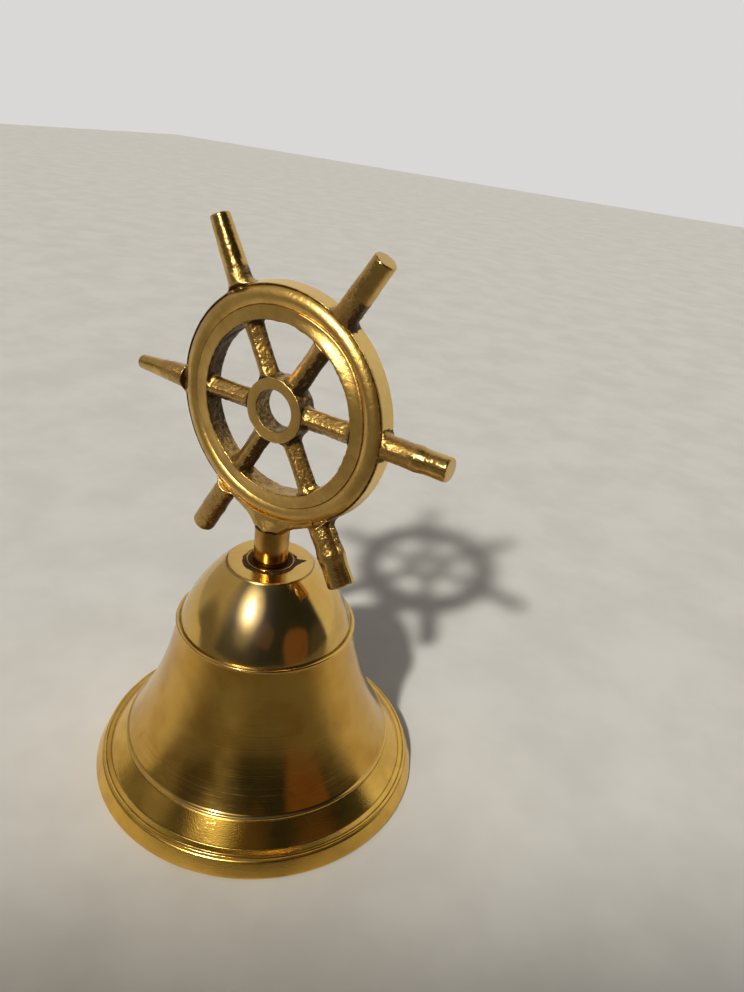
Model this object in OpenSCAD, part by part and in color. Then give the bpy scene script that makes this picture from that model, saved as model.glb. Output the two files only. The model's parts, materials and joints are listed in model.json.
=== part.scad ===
// Brass table bell with a ship's-wheel handle.
// It stands on its mouth: the origin is the centre of the mouth plane and +Z is up.
// The axis of the wheel runs along Y, and the moulded face of its rim looks towards -Y.

/* [Bell] */
// Radius of the mouth, at the outer edge of the lip
mouth_r = 38; // [37:0.5:40]
// Height of the sloping face of the lip
lip_h = 3; // [2:0.25:4]
// Radius of the fine bead at the top of the lip face
bead_r = 35.9; // [35.5:0.1:36.4]
// Width of the flat face that the bell stands on
mouth_face_w = 3.2; // [2:0.2:4]
// Radius of the raised ring low on the skirt
skirt_ring_r = 30.8; // [30:0.2:32]
// Height of the raised ring low on the skirt
skirt_ring_z = 9.5; // [8:0.5:11]
// How much of the skirt's spread is even taper, not flare
skirt_taper = 5.5; // [4:0.5:8]
// Power of the flare: larger keeps the flare closer to the mouth
skirt_flare = 2.3; // [1.8:0.1:3.5]
// Radius of the skirt at the shoulder ring
shoulder_r = 19.7; // [19:0.1:21]
// Height of the shoulder ring
shoulder_z = 38.8; // [37:0.2:40]
// How far the dome bulges past a straight cone
dome_bulge = 1.1; // [0.6:0.1:2.5]
// Radius of the flat land on the crown
crown_r = 9.6; // [9:0.1:11]
// Height of the flat land on the crown
crown_z = 54; // [53:0.5:56]
// Thickness of the bell's wall
wall = 2.2; // [1.6:0.1:2.6]

/* [Handle stem] */
// Diameter of the polished stem between the crown and the wheel
stem_d = 7.6; // [7:0.1:8.4]
// Outer diameter of the thin collar at the foot of the stem
collar_d = 10.5; // [10:0.1:11.5]
// Height of the collar's lip above the packing
collar_h = 0.4; // [0.3:0.05:0.8]
// Outer diameter of the black packing ring
packing_d = 12.4; // [12:0.1:13.5]

/* [Wheel] */
// Height of the wheel's axis above the mouth
wheel_z = 89.3; // [88:0.1:92]
// Outer radius of the rim
rim_r = 24.8; // [24:0.1:25.6]
// Inner radius of the rim
rim_inner_r = 17.7; // [17:0.1:18.5]
// Depth of the rim from front to back
rim_depth = 4.8; // [4.6:0.1:6]
// Radius of the crease between the flat band and the roll on the rim's front
rim_crease_r = 20.6; // [20:0.1:21.4]
// Radius of the hub
hub_r = 6.8; // [6.2:0.1:7.6]
// Radius of the hole through the hub
hub_bore_r = 4.3; // [3.5:0.1:4.8]
// Diameter of a spoke
spoke_d = 4.4; // [3.6:0.1:4.6]
// Distance from the wheel's axis to the end of a grip
grip_tip_r = 38.4; // [36:0.2:40]
// Diameter of a grip where it meets the rim
grip_root_d = 4.7; // [4:0.1:5]
// Width of the boss under the rim that holds the stem
boss_w = 11.6; // [10:0.2:13]

/* [Clapper] */
// Radius of the clapper's ball
ball_r = 5.5; // [4:0.25:6]
// Height of the ball's centre when the clapper hangs
ball_z = 10.5; // [9:0.5:13]
// Diameter of the clapper's wire rod
rod_d = 2.2; // [1.8:0.1:2.6]
// Gap left between linked rings
link_gap = 0.25; // [0.15:0.05:0.35]
// Nominal diameter of the eye bolt's thread
thread_d = 5; // [4:0.5:5]

/* [Hidden] */
// Directions of the wheel's six arms, from +X towards +Z, as the hand-made pattern has them
arm_angles = [-1, 58, 117, 180, 239.5, 298.5];
// Diameter of each grip at its outer end, in the same order
grip_tip_d = [4.8, 3.9, 4.1, 3.1, 5.2, 5.5];
arm_count = len(arm_angles);
arm_numbers = [for (i = [1:arm_count]) i];

fit = 0.05;
curve_steps = 14;
$fn = 96;

// Mouldings of the bell
lip_edge = 0.5;
bead_half_h = 0.3;
bead_groove = 0.35;
ring_bead_r = 0.4;
shoulder_step = 0.55;
mouth_inner_lift = 3;

// Crown, with everything that is clamped through it
crown_thickness = 2.6;
packing_recess = 0.5;
packing_h = 0.6;
packing_top = crown_z - packing_recess + packing_h;
collar_lip_w = 0.3;
collar_floor_h = 0.15;
crown_under_z = crown_z - crown_thickness;
shank_hole_r = thread_d / 2 + 0.1;
washer_r = 6.5;
washer_h = 0.8;
nut_h = 4;
nut_across_flats = 8;
shank_into_stem = 5.8;
stem_hole_depth = 6.2;

// Stem and boss
boss_foot_d = stem_d + 1.3;
boss_foot_h = 0.5;
boss_drop = 1.9;
stem_top_z = wheel_z - rim_r - boss_drop;

// Linked rings: the eye of the bolt and the clapper's eye lie in the XZ plane, the link in the YZ plane
eye_z = 42;
eye_ring_r = 2.8;
eye_wire_r = 1;
link_ring_r = 3.4;
link_wire_r = 0.7;
rod_eye_r = 2.5;
rod_eye_wire_r = 0.9;
sway_pivot_z = eye_z - eye_ring_r;
link_z = sway_pivot_z + eye_wire_r + link_wire_r + link_gap - link_ring_r;
swing_pivot_z = link_z - link_ring_r;
rod_eye_z = swing_pivot_z + link_wire_r + rod_eye_wire_r + link_gap - rod_eye_r;
rod_in_ball = 3.5;

// Rim section, as height above the middle of its depth, towards the moulded face
rim_half = rim_depth / 2;
rim_roll_h = 0.55;
rim_edge = 0.3;
hub_edge = 0.35;

// Radius of the skirt at a share u of the way down from the shoulder ring to the low ring
function skirt_r(u) =
    shoulder_r + skirt_taper * u + (skirt_ring_r - shoulder_r - skirt_taper) * pow(u, skirt_flare);

// Points up the skirt, moved inwards by inset
function skirt_points(inset) = [
    for (i = [0:curve_steps])
        let (u = 1 - i / curve_steps)
        [skirt_r(u) - inset, shoulder_z - (shoulder_z - skirt_ring_z) * u]
];

// Points on a circle about c, from angle a to angle b
function circle_points(c, r, a, b, n) = [
    for (i = [0:n])
        let (t = a + (b - a) * i / n)
        c + r * [cos(t), sin(t)]
];

// Points on the arc from p to q that bulges to the right of the way from p to q
function arc_points(p, q, bulge, n) =
    let (
        chord = norm(q - p),
        side = [(q - p).y, -(q - p).x] / chord,
        r = (chord * chord / 4 + bulge * bulge) / (2 * bulge),
        half = asin(chord / 2 / r),
        middle = atan2(side.y, side.x)
    )
    circle_points((p + q) / 2 - side * (r - bulge), r, middle - half, middle + half, n);

// Outer outline of the bell, from the mouth up to the crown
function bell_outside() = concat(
    [[mouth_r - lip_edge, 0], [mouth_r, lip_edge], [bead_r, lip_h]],
    circle_points([bead_r - bead_half_h, lip_h + bead_half_h], bead_half_h, -60, 90, 5),
    [[bead_r - bead_half_h - bead_groove, lip_h + 2 * bead_half_h]],
    [[bead_r - bead_half_h, lip_h + 3 * bead_half_h]],
    circle_points([skirt_ring_r, skirt_ring_z - ring_bead_r], ring_bead_r, -60, 60, 5),
    skirt_points(0),
    circle_points([shoulder_r, shoulder_z + ring_bead_r], ring_bead_r, -60, 90, 5),
    arc_points([shoulder_r - shoulder_step, shoulder_z + 2 * ring_bead_r], [crown_r, crown_z],
        dome_bulge, curve_steps)
);

// Inner outline of the bell, from the crown down to the mouth
function bell_inside() = concat(
    arc_points([crown_r - wall, crown_under_z], [shoulder_r - wall, shoulder_z], -dome_bulge, curve_steps),
    [for (i = [1:curve_steps]) skirt_points(wall)[curve_steps - i]],
    [[mouth_r - mouth_face_w - 1, mouth_inner_lift], [mouth_r - mouth_face_w, 0]]
);

// Turns a shape drawn along +Z so that it points out of the wheel at an angle from +X
module from_wheel_axis(angle) {
    translate([0, 0, wheel_z])
        rotate([0, 90 - angle, 0])
            children();
}

// A solid drawn about the Z axis, laid on the wheel's axis with its top towards -Y
module on_wheel_axis() {
    translate([0, 0, wheel_z])
        rotate([90, 0, 0])
            children();
}

// A ring of round wire that lies in the XY plane
module wire_ring(ring_r, wire_r) {
    rotate_extrude()
        translate([ring_r, 0])
            circle(r = wire_r, $fn = 48);
}

module bell_shell() {
    color("goldenrod")
        difference() {
            rotate_extrude($fn = 144)
                polygon(concat([[0, crown_under_z]], bell_inside(), bell_outside(), [[0, crown_z]]));
            translate([0, 0, crown_z - packing_recess])
                cylinder(h = crown_thickness, d = packing_d);
            translate([0, 0, crown_under_z - 1])
                cylinder(h = crown_thickness + 2, r = shank_hole_r);
        }
}

module packing_ring() {
    color("black")
        translate([0, 0, packing_top - packing_h])
            difference() {
                cylinder(h = packing_h, d = packing_d);
                translate([0, 0, -1])
                    cylinder(h = packing_h + 2, r = shank_hole_r);
            }
}

module stem_collar() {
    inner_r = stem_d / 2 + fit;
    outer_r = collar_d / 2;
    lip_r = outer_r - collar_lip_w;
    color("gold")
        translate([0, 0, packing_top])
            rotate_extrude()
                polygon([[inner_r, 0], [outer_r, 0], [outer_r, collar_h], [lip_r, collar_h],
                    [lip_r, collar_floor_h], [inner_r, collar_floor_h]]);
}

module handle_stem() {
    color("goldenrod")
        difference() {
            translate([0, 0, packing_top])
                cylinder(h = stem_top_z - packing_top, d = stem_d);
            translate([0, 0, packing_top - 1])
                cylinder(h = stem_hole_depth + 1, d = thread_d);
        }
}

module stem_boss() {
    color("darkgoldenrod")
        difference() {
            hull() {
                translate([0, 0, stem_top_z])
                    cylinder(h = boss_foot_h, d = boss_foot_d, $fn = 32);
                translate([-boss_w / 2, -rim_half + rim_edge, wheel_z - rim_r + 1])
                    cube([boss_w, rim_depth - 2 * rim_edge, 1]);
            }
            on_wheel_axis()
                cylinder(h = 4 * rim_depth, r = rim_r, center = true);
        }
}

module wheel_rim() {
    front = rim_half;
    crease = [rim_crease_r, front - rim_edge];
    shoulder = [rim_r - 2 * rim_edge, front - 3 * rim_edge];
    color("goldenrod")
        on_wheel_axis()
            rotate_extrude($fn = 144)
                polygon(concat(
                    [[rim_inner_r, -front + rim_edge], [rim_inner_r + rim_edge, -front],
                        [rim_r - rim_edge, -front], [rim_r, -front + rim_edge],
                        [rim_r, shoulder.y - rim_edge]],
                    arc_points(shoulder, crease, rim_roll_h, 8),
                    [[rim_crease_r - rim_edge, front - rim_edge / 2], [rim_inner_r + rim_edge, front],
                        [rim_inner_r, front - rim_edge]]
                ));
}

module wheel_hub() {
    color("goldenrod")
        on_wheel_axis()
            difference() {
                rotate_extrude()
                    polygon([[0, -rim_half], [hub_r - hub_edge, -rim_half], [hub_r, -rim_half + hub_edge],
                        [hub_r, rim_half - hub_edge], [hub_r - hub_edge, rim_half], [0, rim_half]]);
                cylinder(h = rim_depth + 2, r = hub_bore_r, center = true);
            }
}

// A spoke fills the way from the hub to the rim, and its ends follow their round walls
module spoke(number) {
    color("peru")
        difference() {
            intersection() {
                from_wheel_axis(arm_angles[number - 1])
                    cylinder(h = rim_inner_r + 1, d = spoke_d, $fn = 48);
                on_wheel_axis()
                    cylinder(h = 2 * rim_depth, r = rim_inner_r, center = true);
            }
            on_wheel_axis()
                cylinder(h = 3 * rim_depth, r = hub_r, center = true);
        }
}

// A grip narrows past its root, swells at the middle and ends in a rounded tip of its own width
module grip(number) {
    root_r = grip_root_d / 2;
    tip_r = grip_tip_d[number - 1] / 2;
    swell_r = (root_r + tip_r) / 2 + 0.15;
    start = rim_r - 1;
    long = grip_tip_r - start;
    edge = 0.4;
    color("goldenrod")
        difference() {
            from_wheel_axis(arm_angles[number - 1])
                translate([0, 0, start])
                    rotate_extrude($fn = 48)
                        polygon([[0, 0], [root_r, 0], [root_r, 0.12 * long], [swell_r - 0.3, 0.35 * long],
                            [swell_r, 0.5 * long], [(swell_r + tip_r) / 2 - 0.1, 0.65 * long],
                            [tip_r, long - edge], [tip_r - edge, long], [0, long]]);
            on_wheel_axis()
                cylinder(h = 4 * rim_depth, r = rim_r, center = true);
        }
}

module inner_washer() {
    color("silver")
        translate([0, 0, crown_under_z - washer_h])
            difference() {
                cylinder(h = washer_h, r = washer_r);
                translate([0, 0, -1])
                    cylinder(h = washer_h + 2, r = shank_hole_r);
            }
}

module lock_nut() {
    color("silver")
        translate([0, 0, crown_under_z - washer_h - nut_h])
            difference() {
                cylinder(h = nut_h, d = nut_across_flats / cos(30), $fn = 6);
                translate([0, 0, -1])
                    cylinder(h = nut_h + 2, d = thread_d);
            }
}

module eye_bolt() {
    shank_bottom = eye_z + eye_ring_r;
    color("gray")
        union() {
            translate([0, 0, shank_bottom])
                cylinder(h = packing_top + shank_into_stem - shank_bottom, r = thread_d / 2 - fit);
            translate([0, 0, eye_z])
                rotate([90, 0, 0])
                    wire_ring(eye_ring_r, eye_wire_r);
        }
}

module clapper_link() {
    color("gray")
        translate([0, 0, link_z])
            rotate([0, 90, 0])
                wire_ring(link_ring_r, link_wire_r);
}

module clapper_rod() {
    rod_bottom = ball_z + ball_r - rod_in_ball;
    color("goldenrod")
        union() {
            translate([0, 0, rod_bottom])
                cylinder(h = rod_eye_z - rod_eye_r - rod_bottom, d = rod_d);
            translate([0, 0, rod_eye_z])
                rotate([90, 0, 0])
                    wire_ring(rod_eye_r, rod_eye_wire_r);
        }
}

module clapper_ball() {
    color("gold")
        translate([0, 0, ball_z])
            difference() {
                sphere(r = ball_r);
                translate([0, 0, ball_r - rod_in_ball])
                    cylinder(h = ball_r, d = rod_d);
            }
}

bell_shell();
packing_ring();
stem_collar();
handle_stem();
stem_boss();
wheel_rim();
wheel_hub();
for (i = arm_numbers) {
    spoke(i);
    grip(i);
}
inner_washer();
lock_nut();
eye_bolt();
clapper_link();
clapper_rod();
clapper_ball();
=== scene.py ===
import json
import math

import bpy
import numpy as np
from mathutils import Matrix, Vector


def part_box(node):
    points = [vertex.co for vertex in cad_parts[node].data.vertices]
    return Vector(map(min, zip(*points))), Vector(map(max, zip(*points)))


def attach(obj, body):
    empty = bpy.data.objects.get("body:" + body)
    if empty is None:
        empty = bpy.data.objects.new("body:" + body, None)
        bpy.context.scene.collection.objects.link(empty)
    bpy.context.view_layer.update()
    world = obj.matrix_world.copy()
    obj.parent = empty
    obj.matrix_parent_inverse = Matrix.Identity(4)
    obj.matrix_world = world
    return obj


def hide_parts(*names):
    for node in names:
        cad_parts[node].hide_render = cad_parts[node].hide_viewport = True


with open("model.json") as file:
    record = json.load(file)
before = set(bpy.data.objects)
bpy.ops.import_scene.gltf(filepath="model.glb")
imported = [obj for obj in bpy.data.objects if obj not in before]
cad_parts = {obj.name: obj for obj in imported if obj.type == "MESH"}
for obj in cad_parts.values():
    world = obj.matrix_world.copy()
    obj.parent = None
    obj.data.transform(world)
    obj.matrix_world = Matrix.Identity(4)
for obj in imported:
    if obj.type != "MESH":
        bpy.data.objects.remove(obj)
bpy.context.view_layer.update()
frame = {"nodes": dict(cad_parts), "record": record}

# Shapes are worked out in millimetres and turned into metres when their mesh is made.
MM = 0.001


# ---- sizes from the frame

def box_mm(node):
    """Lowest and highest corner of a CAD node, in millimetres."""
    low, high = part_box(node)
    return np.array(low) / MM, np.array(high) / MM


def mount(name):
    return next(m for m in frame["record"]["mounts"] if m["name"] == name)


shell_high = box_mm("bell_shell")[1]
MOUTH_R = shell_high[0]
CROWN_Z = shell_high[2]
rim_low, rim_high = box_mm("wheel_rim")
RIM_R = (rim_high[0] - rim_low[0]) / 2
RIM_HALF = rim_high[1]
WHEEL_Z = (rim_high[2] + rim_low[2]) / 2
HUB_R = box_mm("wheel_hub")[1][0]
BORE_R = mount("hub_bore")["dims"]["r_mm"]
stem_low, stem_high = box_mm("handle_stem")
STEM_R = stem_high[0]
STEM_TOP = stem_high[2]
collar_low, collar_high = box_mm("stem_collar")
COLLAR_R = collar_high[0]
PACKING_BOTTOM = box_mm("packing_ring")[0][2]
boss_low, boss_high = box_mm("stem_boss")
washer_low, washer_high = box_mm("inner_washer")
nut_low, nut_high = box_mm("lock_nut")
bolt_low, bolt_high = box_mm("eye_bolt")
link_low, link_high = box_mm("clapper_link")
rod_low, rod_high = box_mm("clapper_rod")
ball_low, ball_high = box_mm("clapper_ball")
ARM_COUNT = sum(name.startswith("spoke_") for name in frame["nodes"])


def arm_direction(number):
    """Angle of an arm of the wheel, from +X towards +Z, as its grip lies."""
    low, high = box_mm(f"grip_{number}")
    middle = (low + high) / 2
    return math.atan2(middle[2] - WHEEL_Z, middle[0])


# ---- sizes of the looks

# Outline of the bell
LIP_H = 3.9
BEAD_R = 36.3
BAND_R, BAND_Z = 34.5, 4.7
RING_R, RING_Z = 30.8, 9.5
SKIRT_TAPER, SKIRT_FLARE = 5.5, 2.3
SHOULDER_R, SHOULDER_Z = 19.7, 38.8
DOME_BULGE = 1.1
CROWN_R = 9.6
WALL = 2.2
CROWN_UNDER_Z = washer_high[2]
SHANK_R = 2.6
RECESS_R = 5.6

# Wheel
RIM_INNER_R = 17.7
SPOKE_R = 2.25
GRIP_TIP_R = 38.4


# ---- noise

rng = np.random.default_rng(11)
VALUES = rng.uniform(-1, 1, 256)
ORDER = rng.permutation(256)


def noise(points, size, shift=0.0):
    """Smooth value noise from -1 to 1 with features of a given size, at (n, 3) points."""
    p = np.asarray(points, float) / size + 37.7 * shift
    cell = np.floor(p).astype(int)
    f = p - cell
    f = f * f * (3 - 2 * f)
    total = np.zeros(len(p))
    for dx in (0, 1):
        for dy in (0, 1):
            for dz in (0, 1):
                h = ORDER[(cell[:, 0] + dx) & 255]
                h = ORDER[(h + cell[:, 1] + dy) & 255]
                h = ORDER[(h + cell[:, 2] + dz) & 255]
                weight = np.where(dx, f[:, 0], 1 - f[:, 0])
                weight = weight * np.where(dy, f[:, 1], 1 - f[:, 1])
                weight = weight * np.where(dz, f[:, 2], 1 - f[:, 2])
                total += weight * VALUES[h]
    return total


def fade(x, a, b):
    """0 below a, 1 above b, smooth between."""
    t = np.clip((x - a) / (b - a), 0, 1)
    return t * t * (3 - 2 * t)


def hump(x, width):
    """1 where x is 0, falling off on both sides within about width."""
    return np.exp(-((x / width) ** 2))


# ---- mesh helpers

def make_piece(name, points, faces, material, nodes, body, slot, marks=None, sharp=40):
    """A mesh piece from points in millimetres. marks are named values per point, read by its material."""
    mesh = bpy.data.meshes.new(name)
    mesh.from_pydata((np.asarray(points) * MM).tolist(), [], [list(f) for f in faces])
    mesh.validate()
    for mark, values in (marks or {}).items():
        layer = mesh.attributes.new(mark, "FLOAT", "POINT")
        layer.data.foreach_set("value", np.asarray(values, np.float32))
    mesh.polygons.foreach_set("use_smooth", [True] * len(mesh.polygons))
    mesh.set_sharp_from_angle(angle=math.radians(sharp))
    mesh.materials.append(material)
    piece = bpy.data.objects.new(name, mesh)
    bpy.context.scene.collection.objects.link(piece)
    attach(piece, body)
    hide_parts(*nodes)
    return piece


def grid_faces(rows, columns, closed_rows=True):
    """Quads of rows by columns points, closed along the columns and, unless told not to be, the rows."""
    i = np.arange(rows if closed_rows else rows - 1)[:, None]
    j = np.arange(columns)[None, :]
    i2, j2 = (i + 1) % rows, (j + 1) % columns
    quads = np.stack([i * columns + j, i * columns + j2, i2 * columns + j2, i2 * columns + j], -1)
    return quads.reshape(-1, 4)


def capped_faces(rows, columns):
    """Quads of rows by columns points, with a flat face on the first and the last row."""
    faces = grid_faces(rows, columns, False).tolist()
    faces.append(list(range(columns))[::-1])
    last = (rows - 1) * columns
    faces.append(list(range(last, last + columns)))
    return faces


def turned_piece(name, points, steps, *looks, **more):
    """A piece from rows of points, each row a full turn of steps points."""
    points = points.reshape(-1, 3)
    return make_piece(name, points, grid_faces(len(points) // steps, steps), *looks, **more)


def full_turn(steps):
    return np.linspace(0, 2 * math.pi, steps, endpoint=False)


def rings(r, z, steps):
    """Points round the Z axis at radius r and height z. Both can be numbers or arrays of rows by steps."""
    turn = full_turn(steps)
    return np.stack([r * np.cos(turn), r * np.sin(turn), z + 0 * turn], -1)


def turned(outline, steps):
    """Points (rows, steps, 3) of an outline of (radius, height) turned about Z."""
    outline = np.asarray(outline, float)
    return rings(outline[:, :1], outline[:, 1:], steps)


def onto_wheel(points):
    """Points made round the Z axis, laid round the wheel's axis with their top to the front."""
    x, y, z = points[..., 0], points[..., 1], points[..., 2]
    return np.stack([x, -z, y + WHEEL_Z], -1)


def line(a, b, step):
    """Points from a up to but not including b."""
    a, b = np.asarray(a, float), np.asarray(b, float)
    n = max(1, math.ceil(np.linalg.norm(b - a) / step))
    return [tuple(a + (b - a) * i / n) for i in range(n)]


def arc(a, b, bulge, step):
    """Points from a up to but not including b, on the arc that bulges to the right of the way."""
    a, b = np.asarray(a, float), np.asarray(b, float)
    chord = np.linalg.norm(b - a)
    side = np.array([(b - a)[1], -(b - a)[0]]) / chord
    radius = (chord * chord / 4 + bulge * bulge) / (2 * bulge)
    half = math.asin(min(1, chord / 2 / abs(radius))) * math.copysign(1, radius)
    centre = (a + b) / 2 - side * (radius - bulge)
    middle = math.atan2(side[1], side[0])
    n = max(2, math.ceil(abs(2 * half * radius) / step))
    turns = [middle - half + 2 * half * i / n for i in range(n)]
    return [tuple(centre + radius * np.array([math.cos(t), math.sin(t)])) for t in turns]


def round_points(centre, radius, start, end, count):
    """Points on a circle from one angle to another, in degrees, both ends included."""
    turns = np.radians(np.linspace(start, end, count))
    return [(centre[0] + radius * math.cos(t), centre[1] + radius * math.sin(t)) for t in turns]


def tube(path, radii, sides, up=(0, 1, 0)):
    """A round tube along a path of points, closed at both ends by small domes."""
    path = np.asarray(path, float)
    radii = np.broadcast_to(np.asarray(radii, float), len(path))
    along = np.gradient(path, axis=0)
    along /= np.linalg.norm(along, axis=1)[:, None]
    side = np.cross(along, np.asarray(up, float))
    side /= np.linalg.norm(side, axis=1)[:, None]
    other = np.cross(side, along)
    shares = (0.15, 0.6, 0.9)
    stations = [(0, -1, share) for share in shares]
    stations += [(k, 0, 1) for k in range(len(path))]
    stations += [(-1, 1, share) for share in reversed(shares)]
    turn = full_turn(sides)[:, None]
    rows = []
    for k, outward, share in stations:
        centre = path[k] + outward * along[k] * radii[k] * (1 - share) * 0.45
        rows.append(centre + radii[k] * share * (np.cos(turn) * side[k] + np.sin(turn) * other[k]))
    return np.concatenate(rows), capped_faces(len(rows), sides)


def joined(*parts):
    """Several (points, faces) as one."""
    points, faces, start = [], [], 0
    for p, f in parts:
        points.append(np.asarray(p, float))
        faces += [[start + i for i in face] for face in f]
        start += len(p)
    return np.concatenate(points), faces


# ---- solids from distances

def smooth_min(a, b, k):
    """The smaller distance, with a fillet of about k where the two are close."""
    h = np.clip(0.5 + 0.5 * (b - a) / k, 0, 1)
    return b + (a - b) * h - k * h * (1 - h)


def section_distance(r, w, polygon):
    """Signed distance from points (r, w) to a closed polygon, negative inside."""
    polygon = np.asarray(polygon, float)
    best = np.full(len(r), 1e18)
    inside = np.zeros(len(r), bool)
    for (ax, ay), (bx, by) in zip(polygon, np.roll(polygon, -1, 0)):
        ex, ey = bx - ax, by - ay
        t = np.clip(((r - ax) * ex + (w - ay) * ey) / (ex * ex + ey * ey), 0, 1)
        best = np.minimum(best, (r - ax - ex * t) ** 2 + (w - ay - ey * t) ** 2)
        crosses = ((ay > w) != (by > w)) & (r < (bx - ax) * (w - ay) / (by - ay + 1e-12) + ax)
        inside ^= crosses
    return np.where(inside, -1, 1) * np.sqrt(best)


def solid_mesh(distance, low, high, step=0.16):
    """A closed mesh of the zero surface of a distance function, by surface nets, pulled onto the surface.
    Gives its points, its faces and the way out of the solid at each point."""
    axes = [np.arange(a, b + step, step) for a, b in zip(low, high)]
    shape = tuple(len(a) for a in axes)
    grid = np.stack(np.meshgrid(*axes, indexing="ij"), -1).reshape(-1, 3)
    d = distance(grid).reshape(shape)
    cells = np.array(shape) - 1
    total = np.zeros((cells.prod(), 3))
    count = np.zeros(cells.prod())
    quads = []
    for axis in range(3):
        a, b = (axis + 1) % 3, (axis + 2) % 3
        lower = [slice(None)] * 3
        upper = [slice(None)] * 3
        lower[axis], upper[axis] = slice(0, -1), slice(1, None)
        index = np.argwhere((d[tuple(lower)] < 0) != (d[tuple(upper)] < 0))
        keep = (index[:, a] > 0) & (index[:, b] > 0) & (index[:, a] < cells[a]) & (index[:, b] < cells[b])
        index = index[keep]
        if not len(index):
            continue
        beyond = index.copy()
        beyond[:, axis] += 1
        d0, d1 = d[tuple(index.T)], d[tuple(beyond.T)]
        crossing = np.array(low) + step * index.astype(float)
        crossing[:, axis] += step * d0 / (d0 - d1)
        corners = []
        for back_a, back_b in ((1, 1), (0, 1), (0, 0), (1, 0)):
            cell = index.copy()
            cell[:, a] -= back_a
            cell[:, b] -= back_b
            flat = np.ravel_multi_index(tuple(cell.T), tuple(cells))
            corners.append(flat)
            for c in range(3):
                total[:, c] += np.bincount(flat, crossing[:, c], len(total))
            count += np.bincount(flat, minlength=len(count))
        quad = np.stack(corners, 1)
        quad[d0 > 0] = quad[d0 > 0][:, ::-1]
        quads.append(quad)
    quads = np.concatenate(quads)
    used = np.flatnonzero(count)
    number = np.full(len(count), -1)
    number[used] = np.arange(len(used))
    points = total[used] / count[used, None]
    for _ in range(3):
        here = distance(points)
        e = step * 0.25
        change = [distance(points + e * axis) - distance(points - e * axis) for axis in np.eye(3)]
        slope = np.stack(change, 1) / (2 * e)
        move = slope * (here / np.maximum((slope ** 2).sum(1), 0.2))[:, None]
        length = np.linalg.norm(move, axis=1)[:, None]
        points = points - move * np.minimum(1, 0.4 * step / np.maximum(length, 1e-9))
    out = slope / np.maximum(np.linalg.norm(slope, axis=1), 1e-9)[:, None]
    return points, number[quads], out


def painted_shade_by_facing(out):
    """How much painted shade a surface that faces this way gets: most to the right, underneath and behind.
    """
    return fade(out @ np.array([0.74, 0.35, -0.57]), -0.05, 0.55)


# ---- material nodes

class Tree:
    """A node tree, with short calls for the nodes used here. A value can be a number or another output."""

    def __init__(self, tree):
        self.tree = tree

    def node(self, kind, **values):
        """A new node. Each named value goes to the input of that name, with _ for a space."""
        n = self.tree.nodes.new("ShaderNode" + kind)
        for name, value in values.items():
            self.link(value, n.inputs[name.replace("_", " ")])
        return n

    def link(self, value, socket):
        if isinstance(value, bpy.types.NodeSocket):
            self.tree.links.new(value, socket)
        else:
            socket.default_value = value

    def math(self, operation, a, b=0.5):
        n = self.node("Math")
        n.operation = operation
        self.link(a, n.inputs[0])
        self.link(b, n.inputs[1])
        return n.outputs[0]

    def add(self, first, *others):
        for other in others:
            first = self.math("ADD", first, other)
        return first

    def times(self, a, b):
        return self.math("MULTIPLY", a, b)

    def ramp(self, value, low, high, out_low=0.0, out_high=1.0):
        n = self.node("MapRange", Value=value, From_Min=low, From_Max=high, To_Min=out_low, To_Max=out_high)
        n.interpolation_type = "SMOOTHSTEP"
        return n.outputs["Result"]

    def mix(self, share, a, b):
        n = self.node("Mix")
        n.data_type = "RGBA"
        for value, socket in ((share, n.inputs[0]), (a, n.inputs[6]), (b, n.inputs[7])):
            self.link(value, socket)
        return n.outputs[2]


class Material(Tree):
    """A material's tree, with its shader and the place of each point on the piece."""

    def __init__(self, name):
        self.material = bpy.data.materials.new(name)
        self.material.use_nodes = True
        super().__init__(self.material.node_tree)
        self.shader = self.tree.nodes["Principled BSDF"]
        self.place = self.node("TexCoord").outputs["Object"]

    def noise(self, size_mm, detail=3.0, rough=0.55, vector=None, distortion=0.0):
        vector = self.place if vector is None else vector
        n = self.node("TexNoise", Vector=vector, Scale=1.0 / (size_mm * MM), Detail=detail, Roughness=rough,
                      Distortion=distortion)
        return n.outputs["Fac"]

    def mark(self, name):
        n = self.node("Attribute")
        n.attribute_name = name
        return n.outputs["Fac"]

    def vector(self, x, y=0.0):
        return self.node("CombineXYZ", X=x, Y=y).outputs[0]

    def rings(self, axis, centre=0.0):
        """Distance from an axis and height along it, as a vector for turning marks."""
        x, y, z = self.node("SeparateXYZ", Vector=self.place).outputs
        across, height = (y, z) if axis == "Z" else (self.math("SUBTRACT", z, centre), y)
        squares = self.add(self.times(x, x), self.times(across, across))
        return self.vector(self.math("SQRT", squares), height)

    def bump(self, height, strength, distance_mm, before=None):
        n = self.node("Bump", Height=height, Strength=strength, Distance=distance_mm * MM)
        if before is not None:
            self.link(before, n.inputs["Normal"])
        return n.outputs["Normal"]

    def coat(self, weight, rough):
        self.shader.inputs["Coat Weight"].default_value = weight
        self.shader.inputs["Coat Roughness"].default_value = rough

    def finish(self, color, roughness, normal, metallic=1.0):
        named = {"Base Color": color, "Roughness": roughness, "Metallic": metallic, "Normal": normal}
        for name, value in named.items():
            self.link(value, self.shader.inputs[name])
        return self.material


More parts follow.
